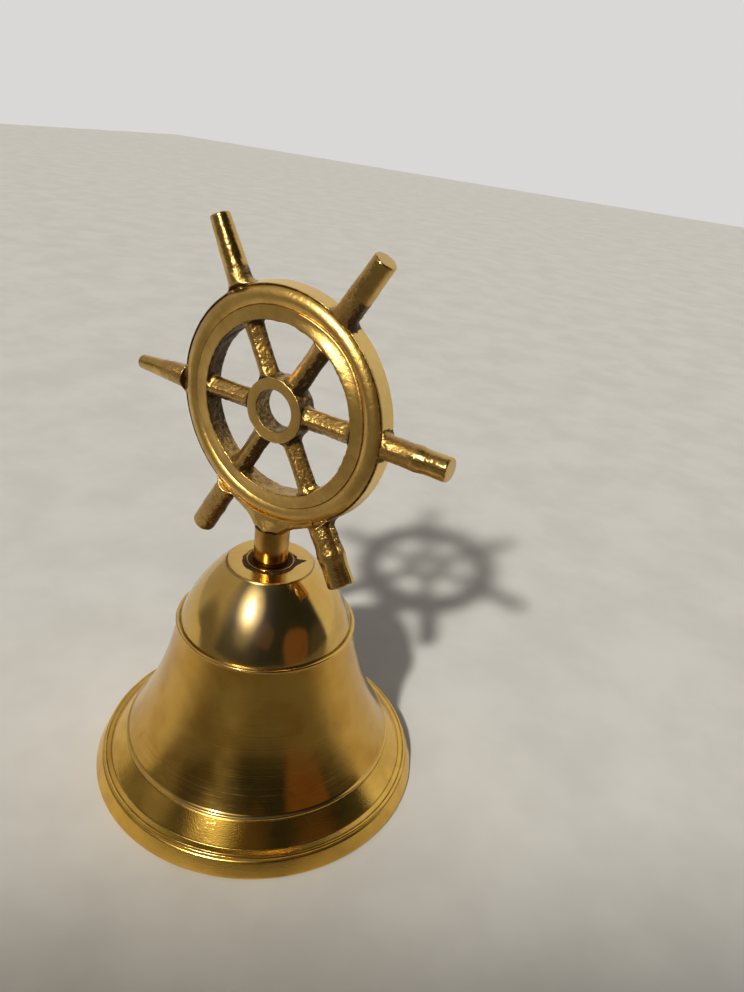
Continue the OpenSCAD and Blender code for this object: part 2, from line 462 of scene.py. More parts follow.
BRIGHT_BRASS = (0.78, 0.53, 0.145, 1)
WARM_BRASS = (0.73, 0.465, 0.115, 1)
# a more orange brass, used only on the skirt as a painted warm reflection of light bounced from the
# surroundings
PAINTED_BOUNCE_ORANGE = (0.64, 0.37, 0.075, 1)
LIP_BRIGHT = (0.88, 0.57, 0.14, 1)
WHEEL_BRIGHT = (0.73, 0.49, 0.155, 1)
WHEEL_WARM = (0.58, 0.37, 0.115, 1)
STAIN = (0.42, 0.24, 0.07, 1)
INSIDE_LIGHT = (0.34, 0.19, 0.06, 1)
INSIDE_DARK = (0.13, 0.075, 0.03, 1)
BROWN_TARNISH = (0.10, 0.055, 0.02, 1)
GREEN_TARNISH = (0.10, 0.095, 0.035, 1)
# near-black brown for grime and tarnish, and also for painted shade on the wheel and the stem
GRIME_AND_SHADE = (0.030, 0.019, 0.010, 1)


def bell_brass(name, colors, stretch, grooves, coat, coat_rough, speckle=0.0):
    """Polished bell metal, with the highlight stretched up and down by fine turning grooves. The mark satin
    roughens it, the mark inside makes it dull and brown, and grime lies along the creases of its mouldings."""
    t = Material(name)
    rings = t.rings("Z")
    inside = t.mark("inside")
    crease = t.mark("crease")
    satin = t.mark("satin")
    cloud = t.noise(9, 3, 0.6)
    color = t.mix(t.ramp(cloud, 0.35, 0.7), *colors)
    stain = t.times(t.ramp(t.noise(4.5, 4, 0.65, None, 0.6), 0.54, 0.70), 0.22)
    color = t.mix(stain, color, STAIN)
    spots = t.times(t.ramp(t.noise(0.5, 2, 0.5), 0.72, 0.78), t.ramp(t.noise(5, 2, 0.5), 0.48, 0.62))
    color = t.mix(t.times(spots, 0.8), color, BROWN_TARNISH)
    edge_dirt = t.times(crease, t.ramp(t.noise(2.5, 3, 0.6), 0.25, 0.6, 0.45, 1.0))
    color = t.mix(t.times(edge_dirt, 0.85), color, GRIME_AND_SHADE)
    inside_cloud = t.ramp(t.noise(3.5, 4, 0.65), 0.35, 0.65)
    color = t.mix(inside, color, t.mix(inside_cloud, INSIDE_LIGHT, INSIDE_DARK))
    turning = t.noise(0.16, 2, 0.7, rings)
    coarse_turning = t.noise(1.0, 2, 0.5, rings)
    patches = t.ramp(t.noise(5, 2, 0.5), 0.3, 0.7)
    scratches = t.noise(0.35, 4, 0.65, None, 0.4)
    rough = t.add(t.times(satin, 0.20), 0.08, t.times(patches, 0.03), t.times(inside, 0.30))
    rough = t.add(rough, t.times(edge_dirt, 0.3))
    marks = t.add(t.times(turning, 0.9), t.times(coarse_turning, 0.4), t.times(scratches, 0.3))
    depth = t.add(t.times(satin, 1.3), 0.08, t.times(inside, 1.6))
    normal = t.bump(t.times(marks, depth), 0.30, 0.010)
    broken = t.ramp(t.noise(3.0, 3, 0.6), 0.3, 0.7, 0.4, 1.0)
    cuts = t.times(t.ramp(t.noise(0.22, 3, 0.7, rings), 0.50, 0.72), broken)
    normal = t.bump(cuts, grooves, 0.03, normal)
    if speckle:
        normal = t.bump(t.noise(0.28, 2, 0.6), speckle, 0.03, normal)
    t.shader.inputs["Anisotropic"].default_value = stretch
    t.shader.inputs["Anisotropic Rotation"].default_value = 0.25
    t.coat(coat, coat_rough)
    tangent = t.node("Tangent")
    tangent.direction_type = "RADIAL"
    tangent.axis = "Z"
    t.link(tangent.outputs[0], t.shader.inputs["Tangent"])
    return t.finish(color, rough, normal)


def wheel_brass():
    """Turned and polished where the mark rough is 0, a sand-cast skin where it is 1. Grime and painted
    shade lie
    where its darkening mark says: in creases, fillets and the bore, under the boss and on faces turned from
    the light."""
    t = Material("wheel_brass")
    rings = t.rings("Y", WHEEL_Z * MM)
    skin = t.mark("rough")
    cloud = t.noise(5, 3, 0.6)
    grain = t.noise(0.30, 3, 0.65)
    color = t.mix(t.ramp(cloud, 0.35, 0.7), WHEEL_BRIGHT, WHEEL_WARM)
    # painted highlight: where the mark bright says, on the outer side of the rim, the colour is made
    # lighter
    color = t.mix(t.mark("bright"), color, (0.92, 0.66, 0.25, 1))
    dull = t.times(t.times(t.ramp(grain, 0.66, 0.40), skin), 0.50)
    color = t.mix(dull, color, (0.24, 0.125, 0.04, 1))
    green = t.times(t.mark("green"), t.ramp(t.noise(2.2, 3, 0.6), 0.30, 0.55))
    color = t.mix(t.times(green, 0.85), color, GREEN_TARNISH)
    uneven = t.times(t.math("SUBTRACT", t.noise(0.9, 5, 0.75), 0.5), 1.2)
    # grime and painted shade: the darkening mark, broken up by noise, takes the colour near black and makes
    # it rougher
    dark = t.times(t.ramp(t.add(t.mark("crease"), uneven), 0.32, 0.85), 0.9)
    color = t.mix(dark, color, GRIME_AND_SHADE)
    rough = t.add(0.34, t.times(skin, -0.05), t.times(t.mark("polish"), -0.18), t.times(dark, 0.30))
    rough = t.add(rough, t.ramp(cloud, 0.3, 0.7, 0.0, 0.06))
    turning = t.noise(0.22, 2, 0.6, rings)
    smooth_skin = t.add(t.times(turning, 0.06), t.times(t.noise(0.9, 3, 0.6), 0.12))
    cast_skin = t.add(t.times(grain, 0.75), t.times(t.noise(0.16, 2, 0.6), 0.35))
    along = t.vector(t.times(t.mark("along"), MM))
    file_marks = t.times(t.noise(0.35, 4, 0.75, along), t.ramp(t.noise(1.2, 3, 0.6), 0.3, 0.6))
    bumps = t.add(smooth_skin, t.times(cast_skin, skin), t.times(file_marks, 0.9))
    normal = t.bump(bumps, 0.6, 0.11)
    t.coat(0.50, 0.28)
    return t.finish(color, rough, normal)


def stem_brass():
    t = Material("stem_brass")
    rings = t.rings("Z")
    color = t.mix(t.ramp(t.noise(4, 3, 0.6), 0.35, 0.7), (0.62, 0.37, 0.10, 1), (0.46, 0.25, 0.07, 1))
    # painted shade at the ends of the bar, where it meets the collar and goes under the boss, broken up by
    # noise
    uneven = t.times(t.math("SUBTRACT", t.noise(0.9, 4, 0.65), 0.5), 1.2)
    end_shade = t.times(t.ramp(t.add(t.mark("crease"), uneven), 0.35, 0.75), 0.92)
    color = t.mix(end_shade, color, GRIME_AND_SHADE)
    rough = t.add(t.ramp(t.noise(2.5, 3, 0.6), 0.3, 0.7, 0.11, 0.18), t.times(end_shade, 0.4))
    marks = t.add(t.noise(0.22, 2, 0.6, rings), t.times(t.noise(0.5, 4, 0.7), 0.6))
    return t.finish(color, rough, t.bump(marks, 0.3, 0.02))


def packing_black():
    t = Material("packing_black")
    cloud = t.ramp(t.noise(0.5, 4, 0.65), 0.4, 0.66)
    color = t.mix(cloud, (0.010, 0.006, 0.004, 1), (0.100, 0.055, 0.026, 1))
    rough = t.ramp(t.noise(0.4, 3, 0.6), 0.3, 0.7, 0.30, 0.7)
    t.shader.inputs["Specular IOR Level"].default_value = 0.30
    return t.finish(color, rough, t.bump(t.noise(0.3, 4, 0.7), 1.0, 0.20), 0.0)


def fastener_steel():
    t = Material("fastener_steel")
    cloud = t.noise(1.6, 4, 0.65)
    color = t.mix(t.ramp(cloud, 0.35, 0.7), (0.50, 0.50, 0.48, 1), (0.30, 0.29, 0.27, 1))
    rust = t.times(t.ramp(t.noise(0.9, 4, 0.7), 0.62, 0.75), 0.8)
    color = t.mix(rust, color, (0.14, 0.055, 0.02, 1))
    rough = t.add(t.ramp(cloud, 0.3, 0.7, 0.26, 0.42), t.times(rust, 0.35))
    normal = t.bump(t.noise(0.3, 4, 0.7), 0.35, 0.03)
    return t.finish(color, rough, normal, t.ramp(rust, 0.1, 0.6, 1.0, 0.3))


def clapper_brass():
    t = Material("clapper_brass")
    rings = t.rings("Z")
    cloud = t.noise(3, 4, 0.6)
    color = t.mix(t.ramp(cloud, 0.35, 0.65), (0.62, 0.40, 0.13, 1), (0.30, 0.17, 0.055, 1))
    rough = t.ramp(cloud, 0.3, 0.7, 0.20, 0.40)
    marks = t.add(t.noise(0.25, 2, 0.6, rings), t.times(t.noise(0.6, 4, 0.7), 0.6))
    return t.finish(color, rough, t.bump(marks, 0.4, 0.03))


DOME_BRASS = bell_brass("dome_brass", (BRIGHT_BRASS, WARM_BRASS), 0.30, 0.05, 0.80, 0.33)
# the skirt's colours are warmer than the dome's, as a painted warm reflection
SKIRT_BRASS = bell_brass("skirt_brass", (WARM_BRASS, PAINTED_BOUNCE_ORANGE), 0.75, 0.24, 0.22, 0.30)
LIP_BRASS = bell_brass("lip_brass", (LIP_BRIGHT, WARM_BRASS), 0.30, 0.05, 0.04, 0.30, 0.80)
WHEEL_BRASS = wheel_brass()
STEM_BRASS = stem_brass()
PACKING_BLACK = packing_black()
FASTENER_STEEL = fastener_steel()
CLAPPER_BRASS = clapper_brass()


# ---- the bell

def skirt_radius(z):
    """Radius of the skirt between the low ring and the shoulder ring."""
    u = (SHOULDER_Z - z) / (SHOULDER_Z - RING_Z)
    return SHOULDER_R + SKIRT_TAPER * u + (RING_R - SHOULDER_R - SKIRT_TAPER) * u ** SKIRT_FLARE


def bell_shell():
    fine, coarse = 0.28, 1.2
    heights = np.linspace(RING_Z + 0.5, SHOULDER_Z - 0.15, 110)
    skirt = [(skirt_radius(z), z) for z in heights]
    outer = (
        round_points((MOUTH_R - 0.45, 0.45), 0.45, -90, 20, 6)
        + line((MOUTH_R - 0.03, 0.6), (BEAD_R + 0.28, LIP_H - 0.30), fine)
        + [(BEAD_R + 0.24, LIP_H - 0.26), (BEAD_R + 0.08, LIP_H - 0.18), (BEAD_R + 0.06, LIP_H - 0.06)]
        + round_points((BEAD_R - 0.30, LIP_H + 0.16), 0.38, -25, 95, 9)
        + [(BEAD_R - 0.55, LIP_H + 0.42), (BEAD_R - 0.62, LIP_H + 0.44)]
        + line((BEAD_R - 0.66, LIP_H + 0.52), (BAND_R + 0.10, BAND_Z - 0.06), 0.15)
        + [(BAND_R + 0.06, BAND_Z - 0.06), (BAND_R + 0.01, BAND_Z + 0.02)]
        + line((BAND_R - 0.04, BAND_Z + 0.10), (RING_R + 0.22, RING_Z - 0.55), fine)
        + [(RING_R + 0.2, RING_Z - 0.52), (RING_R + 0.12, RING_Z - 0.42)]
        + round_points((RING_R - 0.12, RING_Z - 0.05), 0.42, -35, 75, 9)
        + [(RING_R - 0.08, RING_Z + 0.42)]
        + skirt
        + [(SHOULDER_R + 0.04, SHOULDER_Z - 0.08)]
        + round_points((SHOULDER_R, SHOULDER_Z + 0.33), 0.40, -50, 95, 9)
        + [(SHOULDER_R - 0.34, SHOULDER_Z + 0.64), (SHOULDER_R - 0.56, SHOULDER_Z + 0.62)]
        + arc((SHOULDER_R - 0.60, SHOULDER_Z + 0.80), (CROWN_R + 0.05, CROWN_Z - 0.22), DOME_BULGE, fine)
        + [(CROWN_R + 0.03, CROWN_Z - 0.2), (CROWN_R - 0.05, CROWN_Z - 0.08)]
        + [(CROWN_R - 0.2, CROWN_Z - 0.02)]
        + line((CROWN_R - 0.32, CROWN_Z), (RECESS_R + 0.05, CROWN_Z - 0.03), 0.35)
    )
    inner = (
        [(RECESS_R, CROWN_Z - 0.1)]
        + line((RECESS_R, PACKING_BOTTOM), (SHANK_R, PACKING_BOTTOM), coarse)
        + line((SHANK_R, PACKING_BOTTOM - 0.1), (SHANK_R, CROWN_UNDER_Z + 0.1), coarse)
        + line((SHANK_R + 0.1, CROWN_UNDER_Z), (CROWN_R - WALL - 0.6, CROWN_UNDER_Z), coarse)
        + arc((CROWN_R - WALL, CROWN_UNDER_Z - 0.25), (SHOULDER_R - WALL, SHOULDER_Z), -DOME_BULGE, coarse)
        + [(skirt_radius(z) - WALL, z) for z in np.linspace(SHOULDER_Z - 0.8, RING_Z, 30)]
        + line((MOUTH_R - 5.4, 5.0), (MOUTH_R - 4.3, 3.0), 0.5)
        + line((MOUTH_R - 4.2, 2.9), (MOUTH_R - 3.3, 0.25), 0.5)
        + [(MOUTH_R - 3.2, 0.05), (MOUTH_R - 3.0, 0.0)]
        + line((MOUTH_R - 2.7, 0.0), (MOUTH_R - 0.6, 0.0), 0.6)
    )
    outline = np.array(outer + inner)
    z = outline[:, 1]
    within = np.arange(len(outline)) >= len(outer)
    steps = 384
    # slight waves left by the turning tool, which break up the reflections
    waved = (z > RING_Z + 0.6) & (z < SHOULDER_Z - 0.3) & ~within
    wave = noise(np.stack([z, 0 * z, 0 * z], 1), 2.3)
    outline[:, 0] += np.where(waved, 0.012 * wave, 0)
    points = turned(outline, steps).reshape(-1, 3)
    flat = points.copy()
    flat[:, 2] *= 0.6
    points[:, :2] *= (1 + 0.00022 * noise(flat, 7.0))[:, None]
    creases = np.array([
        (BEAD_R + 0.08, LIP_H - 0.12), (BEAD_R - 0.62, LIP_H + 0.46), (BAND_R + 0.03, BAND_Z),
        (RING_R + 0.15, RING_Z - 0.5), (SHOULDER_R - 0.5, SHOULDER_Z + 0.68), (CROWN_R, CROWN_Z - 0.12),
    ])
    widths = np.array([0.16, 0.14, 0.10, 0.12, 0.22, 0.14])
    gap = np.linalg.norm(outline[:, None] - creases[None], axis=2)
    crease = hump(gap, widths).max(1)
    skirt_satin = 0.13 + 0.17 * fade(z, RING_Z + 3, RING_Z + 19)
    satin = np.where(z > SHOULDER_Z + 0.3, 0.05, np.where(z > RING_Z - 0.3, skirt_satin, 0.0))
    satin = np.where(z < LIP_H - 0.1, 0.50, satin)
    satin = np.where(z > CROWN_Z - 0.1, 0.6, satin)
    by_row = {"crease": crease, "inside": within, "satin": satin}
    marks = {name: np.repeat(values, steps) for name, values in by_row.items()}
    piece = turned_piece("bell_shell_turned", points, steps, DOME_BRASS, ["bell_shell"], "root",
                         "polished_brass", marks, sharp=50)
    piece.data.materials.append(SKIRT_BRASS)
    piece.data.materials.append(LIP_BRASS)
    on_skirt = (z < SHOULDER_Z - 0.1) & (z > RING_Z + 0.4) & ~within
    on_lip = (z < RING_Z - 0.5) & ~within
    row_material = np.where(on_skirt, 1, np.where(on_lip, 2, 0))
    piece.data.polygons.foreach_set("material_index", np.repeat(row_material, steps).astype(np.int32))


# ---- foot of the stem

def packing_ring():
    """Black packing squeezed out in a ragged ring, with one smear to the right and back."""
    steps = 360
    bottom = PACKING_BOTTOM
    top = CROWN_Z
    outline = [
        (SHANK_R, bottom), (RECESS_R - 0.02, bottom), (RECESS_R - 0.02, top - 0.04),
        (RECESS_R + 0.12, top + 0.012), (RECESS_R + 0.02, top + 0.06),
        (RECESS_R - 0.15, top + 0.11), (COLLAR_R + 0.12, top + 0.13),
        (COLLAR_R + 0.02, top + 0.12), (COLLAR_R - 0.2, top + 0.05), (SHANK_R, top + 0.05),
    ]
    points = turned(outline, steps)
    turn = np.arctan2(points[0, :, 1], points[0, :, 0])
    around = np.stack([6 * np.cos(turn), 6 * np.sin(turn), 0 * turn], -1)
    ragged = 0.22 * noise(around, 1.1) + 0.16 * noise(around, 0.4, 1) + 0.12 * noise(around, 0.18, 2)
    ragged += 0.12
    for angle, width, reach in ((-120, 40, 0.40), (41, 4, 1.75), (33, 6, 0.9), (58, 9, 0.4)):
        away = np.degrees(np.angle(np.exp(1j * (turn - math.radians(angle)))))
        ragged += reach * hump(away, width)
    radius = np.hypot(points[..., 0], points[..., 1])
    for row, share in ((3, 1.0), (4, 0.9), (5, 0.55)):
        grow = (radius[row] + np.maximum(ragged, -0.08) * share) / radius[row]
        points[row, :, 0] *= grow
        points[row, :, 1] *= grow
    for row in (4, 5, 6, 7):
        points[row, :, 2] += 0.04 * noise(around, 0.7, row)
    turned_piece("packing_residue", points, steps, PACKING_BLACK, ["packing_ring"], "root", "packing_black")


def stem_collar():
    base, top = collar_low[2], collar_high[2]
    lip = COLLAR_R - 0.28
    outline = (
        [(STEM_R + 0.06, base), (COLLAR_R - 0.08, base), (COLLAR_R, base + 0.08)]
        + [(COLLAR_R, top - 0.16)]
        + round_points(((COLLAR_R + lip) / 2, top - 0.14), 0.14, 0, 180, 7)
        + [(lip, base + 0.16), (lip - 0.15, base + 0.1), (STEM_R + 0.06, base + 0.1)]
    )
    steps = 256
    points = turned(outline, steps).reshape(-1, 3)
    points[:, 2] += 0.05 * noise(points, 2.2) * fade(points[:, 2], base + 0.1, top)
    r = np.array(outline)[:, 0]
    crease = np.repeat(np.clip((lip + 0.02 - r) / 0.1, 0, 1), steps)
    turned_piece("stem_collar_ring", points, steps, STEM_BRASS, ["stem_collar"], "root", "collar_brass",
                 {"crease": crease})


def handle_stem():
    """Round bar, waisted by polishing, with a tapped hole from below and its top inside the boss."""
    base, top = stem_low[2], STEM_TOP + 0.9
    hole_r, hole_top = 2.5, base + 6.2
    steps = 192
    waist = 0.010
    rows = 40
    wall = []
    for k in range(rows + 1):
        radius = STEM_R * (1 - waist * math.sin(math.pi * k / rows))
        wall.append((radius, base + 0.25 + (top - base - 0.55) * k / rows))
    outline = (
        [(hole_r, hole_top), (hole_r, base + 0.1), (hole_r + 0.15, base)]
        + [(STEM_R - 0.2, base), (STEM_R, base + 0.15)]
        + wall
        + [(STEM_R - 0.4, top), (0.6, top), (0.4, top - 0.2), (0.4, hole_top + 0.4)]
    )
    points = turned(outline, steps).reshape(-1, 3)
    # both ends of the bar are marked for painted shade
    foot = np.clip(1 - (points[:, 2] - base) / 0.9, 0, 1)
    head = np.clip(1 - (STEM_TOP + 0.3 - points[:, 2]) / 0.8, 0, 1)
    turned_piece("handle_stem_bar", points, steps, STEM_BRASS, ["handle_stem"], "root", "stem_brass",
                 {"crease": np.clip(foot + head, 0, 1)})


# ---- the wheel

def rim_section(step):
    """Closed outline (radius, height towards the moulded face) of the rim's section."""
    h = RIM_HALF
    groove = RIM_INNER_R + 2.9
    return (
        arc((RIM_INNER_R, -h + 0.35), (RIM_INNER_R + 0.35, -h), 0.10, step)
        + line((RIM_INNER_R + 0.35, -h), (RIM_R - 0.25, -h), step * 2)
        + arc((RIM_R - 0.25, -h), (RIM_R, -h + 0.25), 0.08, step)
        + line((RIM_R, -h + 0.25), (RIM_R - 0.34, h - 1.30), step)
        + arc((RIM_R - 0.34, h - 1.30), (RIM_R - 0.46, h - 1.16), 0.04, step)
        + line((RIM_R - 0.46, h - 1.16), (RIM_R - 0.74, h - 1.34), step / 2)
        + arc((RIM_R - 0.74, h - 1.34), (groove + 0.12, h - 0.56), 0.78, step)
        + line((groove + 0.12, h - 0.56), (groove, h - 0.66), step / 2)
        + line((groove, h - 0.66), (groove - 0.14, h - 0.42), step / 2)
        + arc((groove - 0.14, h - 0.42), (RIM_INNER_R + 0.30, h - 0.30), -0.06, step)
        + arc((RIM_INNER_R + 0.30, h - 0.30), (RIM_INNER_R, h - 0.58), 0.09, step)
        + line((RIM_INNER_R, h - 0.58), (RIM_INNER_R, -h + 0.35), step)
    )


def wheel_rim():
    """Moulded front, smooth sides, rough inner wall, and a dip buffed into the front at the upper right."""
    steps = 720
    section = np.array(rim_section(0.2))
    points = onto_wheel(turned(section, steps)).reshape(-1, 3)
    x, z = points[:, 0], points[:, 2] - WHEEL_Z
    r = np.hypot(x, z)
    angle = np.degrees(np.arctan2(z, x))
    around = np.stack([x / r, 0 * r, z / r], -1)
    front = fade(points[:, 1], -RIM_HALF + 1.6, -RIM_HALF + 0.9)
    back = fade(points[:, 1], RIM_HALF - 0.5, RIM_HALF - 0.1)
    inner_wall = fade(r, RIM_INNER_R + 0.30, RIM_INNER_R + 0.05)
    rough = np.clip(inner_wall + 0.45 * back, 0, 1)
    bumps = 0.12 * noise(points, 1.5) + 0.08 * noise(points, 0.6, 2)
    points += around * (rough * bumps * inner_wall + 0.03 * noise(points, 5.0, 4))[:, None]
    dip = fade(r, RIM_INNER_R + 0.2, RIM_INNER_R + 2.9) * fade(r, RIM_INNER_R + 4.4, RIM_INNER_R + 2.9)
    dip = 1.10 * dip * hump(angle - 46, 25)
    points[:, 1] += 0.03 * noise(points, 6.5, 5) + back * 0.5 * bumps + front * dip
    # darker along the crease of the roll, the groove and the inner back edge; the inner wall gets some
    # grime, and painted shade on its faces turned away from the light
    creases = np.array([
        (RIM_R - 0.66, RIM_HALF - 1.30), (RIM_INNER_R + 2.9, RIM_HALF - 0.66), (RIM_INNER_R, -RIM_HALF),
    ])
    widths = np.array([0.34, 0.12, 0.5])
    gap = np.linalg.norm(section[:, None] - creases[None], axis=2)
    crease = 0.85 * np.repeat(hump(gap, widths).max(1), steps)
    crease = np.maximum(crease, inner_wall * (0.40 + 0.42 * painted_shade_by_facing(-around)))
    left = fade(-points[:, 0], 12, 23) * fade(r, RIM_R - 2.0, RIM_R - 0.6)
    # the outer side of the rim is marked for a painted highlight
    painted_side_sheen = fade(r, RIM_R - 0.50, RIM_R - 0.36) * fade(points[:, 1], -RIM_HALF + 1.1, -RIM_HALF + 1.4)
    marks = {"rough": rough, "crease": crease, "green": left, "bright": painted_side_sheen}
    turned_piece("wheel_rim_cast", points, steps, WHEEL_BRASS, ["wheel_rim"], "root", "cast_brass", marks,
                 sharp=60)


def wheel_hub():
    h = RIM_HALF
    step = 0.22
    section = np.array(
        arc((BORE_R + 0.5, -h), (HUB_R - 0.45, -h), -0.02, step)
        + arc((HUB_R - 0.45, -h), (HUB_R, -h + 0.45), 0.14, step / 2)
        + line((HUB_R, -h + 0.45), (HUB_R, h - 0.35), step)
        + arc((HUB_R, h - 0.35), (HUB_R - 0.35, h), 0.10, step / 2)
        + line((HUB_R - 0.35, h), (BORE_R + 0.18, h - 0.03), step)
        + arc((BORE_R + 0.18, h - 0.03), (BORE_R, h - 0.22), 0.05, step / 2)
        + line((BORE_R, h - 0.22), (BORE_R, -h + 0.5), step)
        + arc((BORE_R, -h + 0.5), (BORE_R + 0.5, -h), -0.05, step / 2)
    )
    steps = 288
    points = onto_wheel(turned(section, steps)).reshape(-1, 3)
    r = np.hypot(points[:, 0], points[:, 2] - WHEEL_Z)
    side = fade(r, HUB_R - 0.3, HUB_R)
    bore = fade(r, BORE_R + 0.4, BORE_R)
    around = np.stack([points[:, 0] / r, 0 * r, (points[:, 2] - WHEEL_Z) / r], -1)
    bumps = 0.12 * noise(points, 1.6, 6) + 0.07 * noise(points, 0.6, 7)
    points += around * (side * bumps + bore * 0.02 * noise(points, 1.4, 8))[:, None]
    face = fade(points[:, 1], RIM_HALF - 0.6, RIM_HALF)
    # painted shade inside the bore; on the rough side, some grime and painted shade on the faces turned
    # away from the light
    crease = np.maximum(0.66 * bore, side * (0.40 + 0.35 * painted_shade_by_facing(around)))
    marks = {"rough": np.clip(side + 0.2 * bore + 0.5 * face, 0, 1), "crease": crease}
    turned_piece("wheel_hub_cast", points, steps, WHEEL_BRASS, ["wheel_hub"], "root", "cast_brass", marks,
                 sharp=60)


RIM_POLYGON = [(r, -height) for r, height in rim_section(0.6)]
FILLET = 1.25


def wheel_place(points):
    """Radius from the wheel's axis and depth of each point."""
    return np.hypot(points[:, 0], points[:, 2] - WHEEL_Z), points[:, 1]


def rim_distance(points):
    r, w = wheel_place(points)
    return section_distance(r, w, RIM_POLYGON)


def hub_distance(points):
    r, w = wheel_place(points)
    return np.maximum(r - HUB_R, np.abs(w) - RIM_HALF + 0.1)


def arm_place(points, angle):
    """Distance out along an arm, and across it in the wheel's plane, of each point."""
    x, z = points[:, 0], points[:, 2] - WHEEL_Z
    return x * math.cos(angle) + z * math.sin(angle), -x * math.sin(angle) + z * math.cos(angle)


def arm_box(angle, near, far, depth):
    """Lowest and highest corner of a box round an arm, from one radius to another."""
    ends = np.array([[r * math.cos(angle), 0, WHEEL_Z + r * math.sin(angle)] for r in (near, far)])
    pad = np.array([3.6, depth, 3.6])
    return ends.min(0) - pad, ends.max(0) + pad


def with_skin(d, points, cover, number, share=lambda points: 1.0):
    """A solid's distance d with the lumps and grains of a sand-cast surface, in millimetres, where its
    bar's own distance, cover, is small. share says how much of them some points keep."""
    near = np.abs(d) < 0.7
    some = points[near]
    lumps = 0.08 * noise(some, 2.6, number) + 0.035 * noise(some, 0.8, number + 9)
    lumps += 0.04 * noise(some, 0.4, number)
    d[near] += share(some) * (lumps * fade(cover[near], 0.9, 0.1))
    return d


def clear_of(d, other):
    """A distance d cut back to leave a hair's breadth to another solid."""
    return np.maximum(d, -(other + 0.012))


def cast_piece(node, points, faces, marks):
    make_piece(node + "_cast", points, faces, WHEEL_BRASS, [node], "root", "cast_brass", marks, 75)


def spoke(number, angle):
    """A spoke with two flats each side of a rough ridge, blended into hub and rim."""
    def bar(points):
        t, s = arm_place(points, angle)
        w = points[:, 1] - 0.05
        waist = SPOKE_R - 0.10 * hump(t - 12.3, 4.0)
        across = np.sqrt(s * s + w * w) - waist
        flats = 0.73 * np.abs(s) + 0.68 * np.abs(w) - 0.87 * waist
        return -smooth_min(-across, -flats, 0.25)

    def whole(points):
        b = bar(points)
        d = smooth_min(b, rim_distance(points), FILLET)
        d = smooth_min(d, hub_distance(points), FILLET)
        return with_skin(d, points, b, number)

    def piece(points):
        r, w = wheel_place(points)
        d = clear_of(whole(points) + 0.03, rim_distance(points))
        d = clear_of(d, hub_distance(points))
        d = np.maximum(d, np.abs(w) - RIM_HALF + 0.15)
        return np.maximum(np.maximum(d, r - RIM_INNER_R - 0.15), HUB_R - 0.15 - r)

    points, faces, out = solid_mesh(piece, *arm_box(angle, HUB_R, RIM_INNER_R, 2.6))
    _, s = arm_place(points, angle)
    ridge = fade(np.abs(s), 1.2, 0.5)
    # some grime all over, and painted shade on the faces turned away from the light and in the fillets at
    # rim and hub
    root = hump(np.minimum(rim_distance(points), hub_distance(points)), 0.9)
    crease = 0.20 + 0.74 * painted_shade_by_facing(out) + 0.42 * root
    cast_piece(f"spoke_{number}", points, faces, {"rough": 0.55 + 0.45 * ridge, "crease": crease})


# Each grip: diameter at its tip, length of its rough part, height of the lump half way along, and width of
# the flash along one side.
GRIPS = {
    1: (4.8, 5.5, 0.16, 0.0),
    2: (4.6, 4.5, 0.05, 0.0),
    3: (4.1, 2.5, 0.05, 0.1),
    4: (3.1, 4.5, 0.03, 0.0),
    5: (5.2, 14.0, 0.06, 0.0),
    6: (5.5, 5.5, 0.20, 0.6),
}


def grip(number, angle):
    """An outer grip: rough at its root, with a lump half way along, polished towards its flat tip."""
    tip_d, rough_length, lump, flash = GRIPS[number]
    root_r, tip_r = 2.5, tip_d / 2

    def radius_at(t):
        share = np.clip((t - RIM_R) / (GRIP_TIP_R - RIM_R), 0, 1)
        swell = lump * hump(share - 0.52, 0.09)
        neck = 0.4 * lump * hump(share - 0.68, 0.10)
        return root_r + (tip_r - root_r) * share + swell - neck

    def bar(points):
        t, s = arm_place(points, angle)
        w = points[:, 1]
        radius = radius_at(t)
        across = np.sqrt(s * s + w * w) - radius
        if flash > 0:
            fin = np.maximum(np.abs(w - 0.3) - 0.55, np.abs(s - radius / 2) - radius / 2 - flash)
            across = smooth_min(across, fin, 0.5)
        end = t - GRIP_TIP_R
        edge = 0.45
        corner = np.sqrt(np.maximum(across + edge, 0) ** 2 + np.maximum(end + edge, 0) ** 2) - edge
        return np.where((across + edge > 0) & (end + edge > 0), corner, np.maximum(across, end))

    def rough_at(points):
        t, _ = arm_place(points, angle)
        from_root = t - RIM_R + 1.6 * noise(points, 2.2, number + 20)
        return 1 - fade(from_root, rough_length, rough_length + 2.5)

    def whole(points):
        b = bar(points)
        d = smooth_min(b, rim_distance(points), 1.5)
        return with_skin(d, points, b, number + 5, lambda some: 0.25 + 0.75 * rough_at(some))

    def piece(points):
        r, w = wheel_place(points)
        d = clear_of(whole(points) + 0.02, rim_distance(points))
        widening = 2.5 * np.maximum(0, r - RIM_R + 0.30)
        ahead = -w - 1.25 - widening + 0.2 * noise(points, 0.9, number)
        behind = w - RIM_HALF + 0.05 - widening
        return np.maximum(np.maximum(np.maximum(d, ahead), behind), RIM_R - 3.2 - r)

    points, faces, out = solid_mesh(piece, *arm_box(angle, RIM_R - 1, GRIP_TIP_R, 3.2))
    rough = rough_at(points)
    # grime on the rough part; painted shade on the faces turned away from the light, more on the rough part
    # and at the root by the rim
    root = hump(rim_distance(points), 0.9)
    crease = 0.05 + rough * (0.22 + 0.48 * painted_shade_by_facing(out)) + 0.25 * root * painted_shade_by_facing(out)
    along, _ = arm_place(points, angle)
    marks = {
        "rough": 0.12 + 0.88 * rough,
        "crease": crease,
        "green": 0.5 * rough * fade(out[:, 1], 0, 1),
        "along": along,
        "polish": 1 - rough,
    }
    cast_piece(f"grip_{number}", points, faces, marks)


